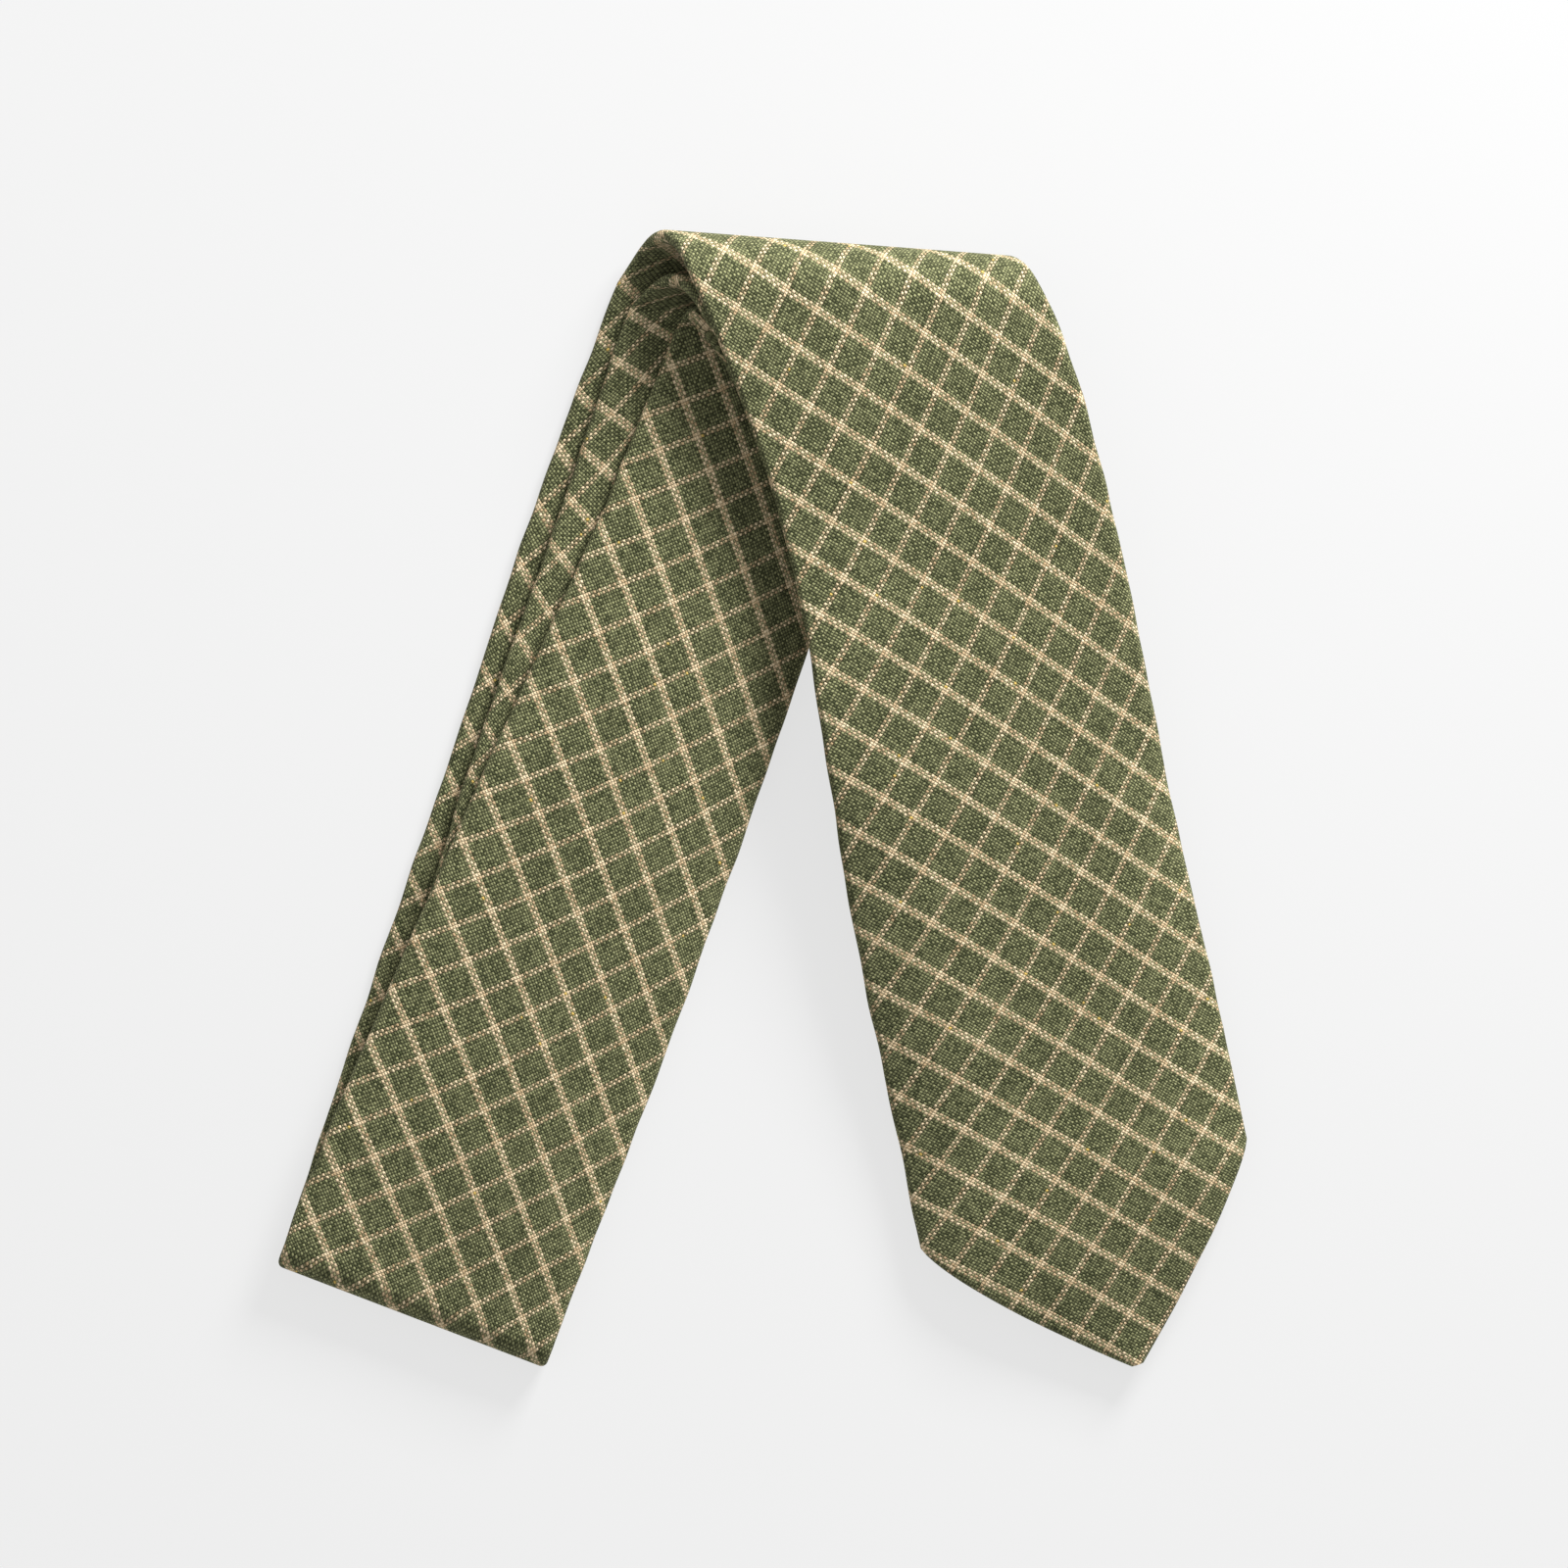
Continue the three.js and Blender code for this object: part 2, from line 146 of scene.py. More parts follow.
def rowEnds(run, down):
    # the two ends of a run's row, measured from its leg's centre line
    leg = legs[run["leg"]]
    cut = min(down, run.get("corner", down))
    slope = abs(leg["spread"] - 2 * leg["straighten"] * cut)
    skew = math.atan(slope) - abs(rowTurn(run["leg"], cut))
    half = through(run["width"], cut) / 2 / math.cos(skew)
    offset = through(run["offset"], cut)
    if down <= cut:
        return offset - half, offset + half
    f = ((down - run["corner"]) / (run["tip"] - run["corner"])) ** run.get("bulge", 1)
    point = offset + run["tipOffset"]
    return (offset - half) * (1 - f) + point * f, (offset + half) * (1 - f) + point * f


def backGap(run, down):
    # half the gap between the back flaps: a seam that opens into the hemmed point
    if "opening" not in run or down < run["opening"]:
        return seamHalf
    left, right = rowEnds(run, down)
    spread = (right - left) / 2 - run["hem"]
    return max(seamHalf, spread * min(1, (down - run["opening"]) / (run["corner"] - run["opening"]) + 0.04))


def heightOf(name, down):
    return runs[name]["level"] + lift(runs[name]["leg"], down, 0)


apexLift = liftHeight * legs["right"]["liftLeft"][0][1]
levels = {name: run["level"] for name, run in runs.items()}
apexFolds = (("outer", "bladeFront", "bladeBack"), ("middle", "middleRun", "tailEnd"),
             ("inner", "neckUnder", "bladeTop"))
foldAt = {key: setback + (apexLift + levels[high] - levels[low]) / 2 + middle
          for setback, (key, high, low) in zip(crease["setback"], apexFolds)}
foldAt["toe"] = toeDistance - (levels["bladeTop"] - levels["bladeBack"]) / 2 - middle
foldAt["heel"] = heelDistance - (levels["middleRun"] - levels["neckUnder"]) / 2 - middle
joints = {joint["name"]: joint for joint in frame["joints"]}
hinge = Vector(joints["bundle_fold"]["pos_m"]) / mm
tilt = math.radians(crease["tilt"])
outerEnds = [[centreLine(runs[n]["leg"], foldAt["outer"]) + end for end in rowEnds(runs[n], foldAt["outer"])]
             for n in ("bladeBack", "bladeFront")]
hingeAcross = sum(sum(ends) for ends in outerEnds) / 4
hingeDown = foldAt["outer"]
apexX = hinge.x - (hingeAcross * math.cos(tilt) + hingeDown * math.sin(tilt))
apexY = hinge.y - (hingeAcross * math.sin(tilt) - hingeDown * math.cos(tilt))


def turned(vectors):
    # from across, down and up to the frame's directions
    v = np.asarray(vectors, float).reshape(-1, 3)
    x = v[:, 0] * math.cos(tilt) + v[:, 1] * math.sin(tilt)
    y = v[:, 0] * math.sin(tilt) - v[:, 1] * math.cos(tilt)
    return np.stack([x, y, v[:, 2]], 1)


def toWorld(points):
    # (across, down, height) in millimetres to the frame's metres
    return (turned(points) + (apexX, apexY, 0)) * mm


# On a leg's plan, in units of 100 mm from the apex, across and up, each count has a start at the apex, its
# growth across and up, and the slight bends across, slantwise and up that pressing gave the bias cloth.
# Hidden runs carry it on around the folds.
check = {
    "blade": {"thick": (6.749, 5.397, 9.292, 1.185, 1.051, -0.032),
              "thin": (-9.110, 11.630, -4.185, 1.714, 1.103, 0.695)},
    "back": {"thick": (10.098, 10.503, 4.362, 1.091, -0.587, -0.043),
             "thin": (-11.401, 6.099, -11.356, 2.652, -1.772, 0.235)},
    "bendsWithin": {"blade": ((0, -2.05), (0.75, -0.25)), "back": ((-0.9, -2.25), (-0.1, -0.5))},
    "changeOver": (40, 225),      # mm down the hidden back run, where the blade's count gives way
    "yarnsPerStripe": (15, 11),   # yarns from one stripe to the next, thick and thin family
}


def stripeCount(side, family, plan):
    # a gently bending count inside the leg, carried on straight outside it
    start, growX, growY, bendX, bendXY, bendY = check[side][family]
    p = plan / 100
    q = np.clip(p, *np.array(check["bendsWithin"][side]))
    x, y = q[:, 0], q[:, 1]
    value = start + growX * x + growY * y + bendX * x * x + bendXY * x * y + bendY * y * y
    slopeX = growX + 2 * bendX * x + bendXY * y
    slopeY = growY + bendXY * x + 2 * bendY * y
    return value + slopeX * (p[:, 0] - x) + slopeY * (p[:, 1] - y)


def unfolder(leg, down, away, arc):
    # lays the run beyond a fold flat with the run before it; away is 1 at the apex, -1 at a far end
    turn = rowTurn(leg, down)
    origin = np.array([centreLine(leg, down), -down])
    out = away * np.array([-math.sin(turn), math.cos(turn)])
    return lambda plan: plan + np.outer(arc - 2 * ((plan - origin) @ out), out)


folds = {
    "outer": {"low": "bladeBack", "high": "bladeFront", "away": 1, "faceOut": 1},
    "toe": {"low": "bladeBack", "high": "bladeTop", "away": -1, "faceOut": 1},
    "inner": {"low": "bladeTop", "high": "neckUnder", "away": 1, "faceOut": -1},
    "heel": {"low": "neckUnder", "high": "middleRun", "away": -1, "faceOut": 1},
    "middle": {"low": "tailEnd", "high": "middleRun", "away": 1, "faceOut": 1},
}
for key, fold in folds.items():
    fold["at"] = foldAt[key]
    fold["arc"] = math.pi * (heightOf(fold["high"], fold["at"]) - heightOf(fold["low"], fold["at"])) / 2


def planOver(keys):
    # carries a run's plan over the named folds, the last fold first
    picked = [folds[k] for k in keys]
    steps = [unfolder(runs[f["low"]]["leg"], f["at"], f["away"], f["arc"]) for f in picked]

    def carry(plan):
        for step in reversed(steps):
            plan = step(plan)
        return plan
    return carry


# how each run's plan is carried onto the blade's plan or the back's
onBlade = {"bladeFront": planOver([]), "bladeBack": planOver(["outer"])}
onBack = {"bladeBack": planOver(["toe"]), "bladeTop": planOver([]), "neckUnder": planOver(["inner"]),
          "middleRun": planOver(["inner", "heel"]), "tailEnd": planOver(["inner", "heel", "middle"])}


# rows of the strip, in order from the blade's tip to the tail's
rowStep = 2.0       # mm from row to row along a run
foldRowStep = 1.4   # and round a fold
seamHalf = 0.45     # half the gap between the back flaps along the closed seam
bluntEnd = 1.2      # each tip's last row, short of its sharp point


def runRows(name, start, end):
    run = runs[name]
    leg = run["leg"]
    stops = sorted({start, end} | {run[k] for k in ("corner", "opening")
                                   if k in run and min(start, end) < run[k] < max(start, end)})
    downs = [stops[0]]
    for a, b in zip(stops, stops[1:]):
        count = max(2, round((b - a) / rowStep) + 1)
        downs += list(np.linspace(a, b, count)[1:])
    if start > end:
        downs = downs[::-1]
    rows = []
    for down in downs:
        turn = rowTurn(leg, down)
        sides = rowEnds(run, down)
        drop = run["droop"][2] * smooth(down, *run["droop"][:2]) if "droop" in run else 0
        plan = [(centreLine(leg, down) + s * math.cos(turn), -(down - s * math.sin(turn))) for s in sides]
        ends = [(p[0], -p[1], lift(leg, down, s) + run["level"] - drop) for p, s in zip(plan, sides)]
        rows.append({"ends": np.array(ends), "out": np.array((0.0, 0.0, run["face"])), "plan": np.array(plan),
                     "gap": backGap(run, down), "down": down, "name": name, "sides": sides})
    return rows


def foldRows(key, upward):
    # a half turn of rows about the line midway between the two runs that the fold joins
    fold = folds[key]
    low, high, at, away = runs[fold["low"]], runs[fold["high"]], fold["at"], fold["away"]
    lowEnds = np.array(rowEnds(low, at))
    pivot = centreLine(low["leg"], at)
    highEnds = np.array(rowEnds(high, at)) + centreLine(high["leg"], at) - pivot
    lowHeight, highHeight = heightOf(fold["low"], at), heightOf(fold["high"], at)
    axis, radius = (lowHeight + highHeight) / 2, (highHeight - lowHeight) / 2
    turn = rowTurn(low["leg"], at)
    out = away * np.array([-math.sin(turn), -math.cos(turn)])
    count = max(10, round(fold["arc"] / foldRowStep))
    rows = []
    for f in np.linspace(0, 1, count + 1)[1:-1]:
        angle = math.pi * (f - 0.5)
        sides = lowEnds * (1 - f) + highEnds * f
        step = radius * math.cos(angle)
        ends = [(pivot + s * math.cos(turn) + step * out[0], at - s * math.sin(turn) + step * out[1],
                 axis + radius * math.sin(angle)) for s in sides]
        normal = fold["faceOut"] * np.array([*(math.cos(angle) * out), math.sin(angle)])
        reach = np.array([out[0], -out[1]]) * math.pi * radius * f
        plan = [np.array((pivot + s * math.cos(turn), -(at - s * math.sin(turn)))) + reach for s in sides]
        rows.append({"ends": np.array(ends), "out": normal, "plan": np.array(plan), "gap": seamHalf,
                     "down": at, "name": fold["low"], "sides": sides, "fold": key})
    return rows if upward else rows[::-1]


path = [("bladeFront", bladeTip - bluntEnd, foldAt["outer"]), ("outer", False),
        ("bladeBack", foldAt["outer"], foldAt["toe"]), ("toe", True),
        ("bladeTop", foldAt["toe"], foldAt["inner"]), ("inner", True),
        ("neckUnder", foldAt["inner"], foldAt["heel"]), ("heel", True),
        ("middleRun", foldAt["heel"], foldAt["middle"]), ("middle", False),
        ("tailEnd", foldAt["middle"], tailTip - bluntEnd)]
strip = []
spans = {}
for step in path:
    rows = runRows(*step) if len(step) == 3 else foldRows(*step)
    spans[step[0]] = (len(strip), len(strip) + len(rows))
    strip += rows


def countsFor(row, plan):
    # stripe counts of both families at points of a row; the hidden back run passes from one to the other
    name = row["name"]
    counts = []
    for family in ("thick", "thin"):
        if name == "bladeFront":
            value = stripeCount("blade", family, onBlade[name](plan))
        else:
            value = stripeCount("back", family, onBack[name](plan)) + joinBack[family]
        if name == "bladeBack":
            share = smooth(row["down"], *check["changeOver"])
            value = value * share + stripeCount("blade", family, onBlade[name](plan)) * (1 - share)
        counts.append(value)
    return np.stack(counts, 1)


# whole stripes to add, so the two counts agree half way down the hidden run
joinBack = {}
middleRow = strip[sum(spans["bladeBack"]) // 2]
for family in ("thick", "thin"):
    fromBlade = stripeCount("blade", family, onBlade["bladeBack"](middleRow["plan"]))
    fromBack = stripeCount("back", family, onBack["bladeBack"](middleRow["plan"]))
    joinBack[family] = float(np.round(np.mean(fromBlade - fromBack)))
    print("check carried round the toe:", family, np.round(fromBlade - fromBack - joinBack[family], 2))


# the sleeve of cloth round the wool, mm
sleeve = {
    "wall": 0.5, "edge": 1.45, "frontPoints": 44, "edgePoints": 9, "backPoints": 16,
    "wave": 0.35, "waveLength": 11,          # unevenness of the pressed edges
    "ripple": 0.22, "rippleLength": 19, "rippleFrom": 8,   # and of the faces, none on the floor
}
# how the two seen faces stand: a crown in the middle, and edges that fall away beyond "from"
faces = {
    "bladeFront": {"crown": 0.9, "crownOver": (12, 60), "from": 19, "over": 18, "depth": 3.0, "deepest": 4.0,
                   "starts": (90, 130), "eases": (205, 240), "easeBy": 0.6},
    "bladeTop": {"crown": 0.7, "from": 12, "over": 18, "depth": 2.4, "widest": 1.2,
                 "starts": (40, 75), "ends": (205, 236)},
}


def sleeveOutline(left, right, gap, inset):
    # (side, out, reach along the cloth from the face's middle), from one back flap's edge round to the other
    half = (right - left) / 2
    r = min(sleeve["edge"], half * 0.9)
    a = max(r - inset, 0.05)                  # the edge's own half width, inside or outside wall
    t = middle - inset
    mid = (left + right) / 2
    flap = np.linspace(0, 1, sleeve["backPoints"])
    front = np.linspace(-1, 1, sleeve["frontPoints"])
    bend = np.linspace(-math.pi / 2, math.pi / 2, sleeve["edgePoints"] + 2)[1:-1]
    flat = half - r                           # half of the straight part
    gap = min(gap, flat * 0.98)
    quarter = math.pi * (a + t) / 4
    side = np.concatenate([-gap + flap * (gap - flat), -flat - a * np.cos(bend), front * flat,
                           flat + a * np.cos(bend), flat + flap * (gap - flat)])
    out = np.concatenate([np.full(len(flap), -t), t * np.sin(bend), np.full(len(front), t),
                          -t * np.sin(bend), np.full(len(flap), -t)])
    wrap = (bend / math.pi + 0.5) * 2 * quarter
    reach = np.concatenate([-(2 * flat - gap) - 2 * quarter + flap * (flat - gap), -flat - 2 * quarter + wrap,
                            front * flat, flat + wrap, flat + 2 * quarter + flap * (flat - gap)])
    return side + mid, out, reach + mid


def topShape(row, side, out):
    # how far the free faces stand from the plain layer
    rise = np.zeros_like(side)
    if "fold" in row or row["name"] not in faces:
        return rise
    look, down = faces[row["name"]], row["down"]
    left, right = row["sides"]
    x = (side - (left + right) / 2) / max((right - left) / 2, 1)
    crown = look["crown"] * np.clip(1 - x * x, 0, 1) * (out > 0)
    starts = smooth(down, *look["starts"])
    if row["name"] == "bladeFront":
        sag = look["depth"] * np.clip((np.abs(side) - look["from"]) / look["over"], 0, 2) ** 2
        ease = 1 - smooth(down, *look["eases"]) * look["easeBy"]
        crown = crown * smooth(down, *look["crownOver"])
        return rise + crown - np.minimum(sag, look["deepest"]) * starts * ease
    keep = starts * (1 - smooth(down, *look["ends"]))
    sag = look["depth"] * np.clip((side - look["from"]) / look["over"], 0, look["widest"]) ** 2
    return rise + (crown - sag) * keep


def rippled(grid):
    # the cloth's slight unevenness, which fades out where it rests on the floor
    points = grid.reshape(-1, 3)
    scale = sleeve["rippleLength"]
    swell = np.array([noise.noise(Vector((x / scale, y / scale, 3.0))) for x, y in points[:, :2]])
    points[:, 2] += sleeve["ripple"] * swell * np.clip(points[:, 2] / sleeve["rippleFrom"], 0, 1)
    return grid


reachSoFar = 0.0
centreBefore = strip[0]["ends"].mean(0)
for row in strip:
    centre = row["ends"].mean(0)
    reachSoFar += float(np.linalg.norm(centre - centreBefore))
    centreBefore = centre
    row["length"] = reachSoFar
    along = reachSoFar / sleeve["waveLength"]
    row["wave"] = [sleeve["wave"] * noise.noise(Vector((along, 7.0 + side * 31, 0))) for side in (0, 1)]


def layRow(row, side, out):
    # points of a row in millimetres from their place across it and their height over the layer's middle
    left, right = row["sides"]
    f = (side - left) / (right - left)
    points = row["ends"][0] * (1 - f)[:, None] + row["ends"][1] * f[:, None]
    axis = row["ends"][1] - row["ends"][0]
    axis /= np.linalg.norm(axis)
    push = -row["wave"][0] * np.clip(1 - 2 * f, 0, 1) ** 2 + row["wave"][1] * np.clip(2 * f - 1, 0, 1) ** 2
    points = points + axis * push[:, None] + row["out"] * out[:, None]
    points[:, 2] += topShape(row, side, out)
    return points


def clothGrid(inset):
    # one wall of the whole strip's sleeve, and the stripe counts at its points
    grid, counts = [], []
    for row in strip:
        side, out, reach = sleeveOutline(row["sides"][0], row["sides"][1], row["gap"], inset)
        grid.append(layRow(row, side, out))
        left, right = row["sides"]
        g = (reach - left) / (right - left)
        plan = row["plan"][0] * (1 - g)[:, None] + row["plan"][1] * g[:, None]
        counts.append(countsFor(row, plan))
    return rippled(np.array(grid)), np.array(counts)


def gridNormals(grid):
    # smooth normals of a wall, on the side that the rows face
    normal = np.cross(np.gradient(grid, axis=1), np.gradient(grid, axis=0))
    normal /= np.maximum(np.linalg.norm(normal, axis=2, keepdims=True), 1e-9)
    front = grid.shape[1] // 2
    facing = (normal[:, front] * np.array([row["out"] for row in strip])).sum(1)
    return normal * np.sign(np.median(facing))


outer, counts = clothGrid(0.0)
inner, _ = clothGrid(sleeve["wall"])
outerNormal, innerNormal = gridNormals(outer), -gridNormals(inner)
print("strip of", len(strip), "rows laid out,", round(strip[-1]["length"]), "mm from tip to tip")


def newObject(name, data):
    obj = bpy.data.objects.new(name, data)
    scene.collection.objects.link(obj)
    return obj


def yarnsOnto(mesh, uv):
    # the count of yarns at each point, as the UV layer that the cotton reads
    layerUv = mesh.uv_layers.new(name="yarns")
    loops = np.empty(len(mesh.loops), int)
    mesh.loops.foreach_get("vertex_index", loops)
    layerUv.data.foreach_set("uv", uv[loops].ravel())


def newMesh(name, points, faces, material, normals=None, uv=None):
    mesh = bpy.data.meshes.new(name)
    mesh.from_pydata([tuple(p) for p in points], [], [tuple(int(i) for i in f) for f in faces])
    if uv is not None:
        yarnsOnto(mesh, uv)
    mesh.polygons.foreach_set("use_smooth", [True] * len(mesh.polygons))
    mesh.materials.append(material)
    if normals is not None:
        mesh.normals_split_custom_set_from_vertices([tuple(n) for n in normals])
    mesh.validate(clean_customdata=False)
    mesh.update()
    return newObject(name, mesh)


def volumeOf(points, faces):
    # six times the enclosed volume, negative where the faces look inwards
    total = 0.0
    for f in faces:
        for k in range(1, len(f) - 1):
            a, b, c = points[f[0]], points[f[k]], points[f[k + 1]]
            total += float(np.dot(a, np.cross(b, c)))
    return total


def sleeveMesh(name, first, last, material):
    # rows first to last of the strip as one closed body: outer wall, inner wall, two flap edges, two ends
    rows, columns = last - first + 1, outer.shape[1]
    shift = rows * columns

    def quads(k, *steps):
        return np.stack([k + step for step in steps], 1)

    i, j = np.meshgrid(np.arange(rows - 1), np.arange(columns - 1), indexing="ij")
    k = (i * columns + j).ravel()
    faces = [quads(k, 0, 1, columns + 1, columns),
             quads(k, shift, shift + columns, shift + columns + 1, shift + 1)]
    k = np.arange(rows - 1) * columns
    faces += [quads(k, 0, columns, columns + shift, shift),
              quads(k + columns - 1, 0, shift, columns + shift, columns)]
    k = np.arange(columns - 1)
    faces += [quads(k, 0, shift, shift + 1, 1), quads(k + (rows - 1) * columns, 0, 1, shift + 1, shift)]
    faces = np.concatenate(faces)
    part = slice(first, last + 1)
    points = toWorld(np.concatenate([outer[part], inner[part]]))
    if volumeOf(points, faces) < 0:
        faces = faces[:, ::-1]
    uv = np.concatenate([counts[part], counts[part]]).reshape(-1, 2) * np.array(check["yarnsPerStripe"])
    normals = np.concatenate([outerNormal[part], innerNormal[part]]).reshape(-1, 3)
    return newMesh(name, points, faces, material, turned(normals), uv)


def linear(hexColour):
    values = [int(hexColour[i:i + 2], 16) / 255 for i in (1, 3, 5)]
    return tuple(v / 12.92 if v <= 0.04045 else ((v + 0.055) / 1.055) ** 2.4 for v in values) + (1.0,)


def addNode(tree, kind, links=(), **settings):
    # adds one node, a shader's where its kind names no other: settings are its properties, links its inputs,
    # in order or by name, each a value, a socket, or a node, which stands for its first output
    node = tree.nodes.new(kind if "Node" in kind else "ShaderNode" + kind)
    for key, value in settings.items():
        setattr(node, key, value)
    for key, value in links.items() if isinstance(links, dict) else enumerate(links):
        if isinstance(value, bpy.types.Node):
            value = value.outputs[0]
        if isinstance(value, bpy.types.NodeSocket):
            tree.links.new(value, node.inputs[key])
        else:
            node.inputs[key].default_value = value
    return node


def newMaterial(name):
    material = bpy.data.materials.new(name)
    material.use_nodes = True
    tree = material.node_tree
    tree.nodes.clear()
    add = partial(addNode, tree)
    shader = add("BsdfPrincipled")
    output = add("OutputMaterial", {"Surface": shader})
    return material, add, shader, output


def dress(material, shader, colour, bump, **values):
    # joins the finished colour and relief to the shader, and sets its plain values
    material.node_tree.links.new(colour.outputs[2], shader.inputs["Base Color"])
    material.node_tree.links.new(bump.outputs[0], shader.inputs["Normal"])
    for key, value in values.items():
        shader.inputs[key.replace("_", " ")].default_value = value


cotton = {
    "ground": "#a2a476", "groundDark": "#4b5031",          # the green's light and dark yarns
    "pale": "#c9ad84", "palest": "#fbe4bd", "speck": "#dcbc68", "speckAbove": 0.994,
    "paleYarns": (3, 2),           # pale yarns in each stripe, thick and thin family
    "paleStrength": (1.0, 0.9),
    "thinYarnEdge": 0.3,           # the thin family's pale yarns are finer, so they cover less
    "showThrough": (0.14, 0.16),   # how much of a pale yarn still shows where a green one crosses over it
    "crossing": 0.85,              # brightness kept in the painted gap shade where two pale yarns cross
    # the yarns' roundness, and the painted shade in the pinholes between yarns: its darkest, and how much
    # pale yarns lighten it
    "roundness": 0.8, "paleFill": 0.35, "gapShade": 0.12,
    "shadeBase": -0.4, "shades": (0.75, 0.3, 0.3, 0.45),   # from crossing, yarn and patch of cloth as uneven dye, and from family as painted shade
    "waver": 0.5,                  # of a yarn, how far the yarns stray
    "yarnRelief": 0.00022,         # m, how far a yarn stands over the gaps
    "fuzz": 0.12, "fuzzTint": "#c9c79a", "fibreRelief": 0.25, "roughness": 0.92,
}


def makeCottonCheck(name):
    # brushed plain-weave cotton: matt, each round yarn catching the light, with painted shade in the pinholes
    # between yarns, uneven dyeing, a painted shade that sets apart the yarn family on top, and a slight bloom
    # of fibre at grazing angles
    material, add, shader, _ = newMaterial(name)
    uv = add("UVMap", uv_map="yarns")
    split = add("SeparateXYZ", (uv,))
    wobble = add("TexNoise", {"Vector": uv, "Scale": 0.35, "Detail": 2.0}, noise_dimensions="2D")
    waver = cotton["waver"]
    drift = add("Math", (wobble, waver, -waver / 2), operation="MULTIPLY_ADD")
    families = []
    for k in (0, 1):
        place = add("Math", (split.outputs[k], drift), operation="ADD")
        index = add("Math", (place,), operation="FLOOR")
        part = add("Math", (place,), operation="FRACT")
        angle = add("Math", (part, math.pi), operation="MULTIPLY")
        arch = add("Math", (angle,), operation="SINE")
        centred = add("Math", (index, cotton["paleYarns"][k] // 2), operation="ADD")
        inStripe = add("Math", (centred, check["yarnsPerStripe"][k]), operation="FLOORED_MODULO")
        isPale = add("Math", (inStripe, cotton["paleYarns"][k] - 0.5), operation="LESS_THAN")
        pale = add("Math", (isPale, cotton["paleStrength"][k]), operation="MULTIPLY")
        families.append({"index": index, "arch": arch, "pale": pale})
    thick, thin = families
    slim = add("Math", (thin["arch"], cotton["thinYarnEdge"]), operation="GREATER_THAN")
    thin["pale"] = add("Math", (thin["pale"], slim), operation="MULTIPLY")

    # plain weave: the families take turns on top, and over is 1 where the thin family's yarn is
    both = add("Math", (thick["index"], thin["index"]), operation="ADD")
    over = add("Math", (both, 2.0), operation="FLOORED_MODULO")
    under = add("Math", (1.0, over), operation="SUBTRACT")
    pale = 0.0
    for family, onTop, through in zip(families, (under, over), cotton["showThrough"]):
        for share in (onTop, through):
            seen = add("Math", (family["pale"], share), operation="MULTIPLY")
            pale = add("Math", (pale, seen), operation="MAXIMUM")
    crossing = add("Math", (thick["pale"], thin["pale"]), operation="MULTIPLY")

    # each yarn, each crossing and each patch of cloth took the dye a little differently; cells where the thin
    # family lies on top are painted lighter, a painted shade of how light falls along each family's yarns
    topIndex = add("Mix", {0: over, 2: thick["index"], 3: thin["index"]}, data_type="FLOAT")
    yarnTint = add("TexWhiteNoise", {"W": topIndex}, noise_dimensions="1D")
    cell = add("CombineXYZ", (thick["index"], thin["index"], over))
    cellTint = add("TexWhiteNoise", {"Vector": cell}, noise_dimensions="3D")
    mottle = add("TexNoise", {"Vector": uv, "Scale": 0.045, "Detail": 3.0}, noise_dimensions="2D")
    shade = cotton["shadeBase"]
    for tint, share in zip((cellTint, yarnTint, mottle, over), cotton["shades"]):
        shade = add("Math", (tint, share, shade), operation="MULTIPLY_ADD")
    green = add("Mix", {0: shade, 6: linear(cotton["groundDark"]), 7: linear(cotton["ground"])},
          data_type="RGBA", clamp_factor=True)
    cream = add("Mix", {0: cellTint, 6: linear(cotton["pale"]), 7: linear(cotton["palest"])},
          data_type="RGBA")
    rare = add("Math", (cellTint, cotton["speckAbove"]), operation="GREATER_THAN")
    cream = add("Mix", {0: rare, 6: cream.outputs[2], 7: linear(cotton["speck"])}, data_type="RGBA")
    dyeAndShade = add("Mix", {0: pale, 6: green.outputs[2], 7: cream.outputs[2]}, data_type="RGBA")

    # round yarns, with shade gathered in the pinholes between them
    arched = add("Math", (thick["arch"], thin["arch"]), operation="MULTIPLY")
    crown = add("Math", (arched, cotton["roundness"]), operation="POWER")
    depth = add("Math", (pale, cotton["paleFill"], cotton["gapShade"]), operation="MULTIPLY_ADD")
    gap = add("Mix", {0: crown, 2: depth, 3: 1.0}, data_type="FLOAT")
    filled = add("Math", (crossing, cotton["crossing"]), operation="MULTIPLY")
    gap = add("Math", (gap, filled), operation="MAXIMUM")
    colour = add("Mix", {0: 1.0, 6: dyeAndShade.outputs[2], 7: gap}, data_type="RGBA", blend_type="MULTIPLY")
    fibre = add("TexNoise", {"Vector": uv, "Scale": 3.1, "Detail": 3.0}, noise_dimensions="2D")
    relief = add("Math", (fibre, cotton["fibreRelief"], crown), operation="MULTIPLY_ADD")
    bump = add("Bump", {"Strength": 1.0, "Distance": cotton["yarnRelief"], "Height": relief})
    dress(material, shader, colour, bump, Roughness=cotton["roughness"], Specular_IOR_Level=0.2,
          Sheen_Weight=cotton["fuzz"], Sheen_Roughness=0.5, Sheen_Tint=linear(cotton["fuzzTint"]))
    return material


plainCloths = {
    "brushedWoolInterlining": {"light": "#ddd6c6", "dark": "#bdb4a0", "thread": 0.9, "roughness": 0.97,
                               "sheen": 0.4},
    "greenLiningTwill": {"light": "#5f6c3f", "dark": "#4a5631", "thread": 0.35, "roughness": 0.6,
                         "sheen": 0.2},
    "creamSatinLabel": {"light": "#efe7d2", "dark": "#d8cdb2", "thread": 0.3, "roughness": 0.5, "sheen": 0.2},
}


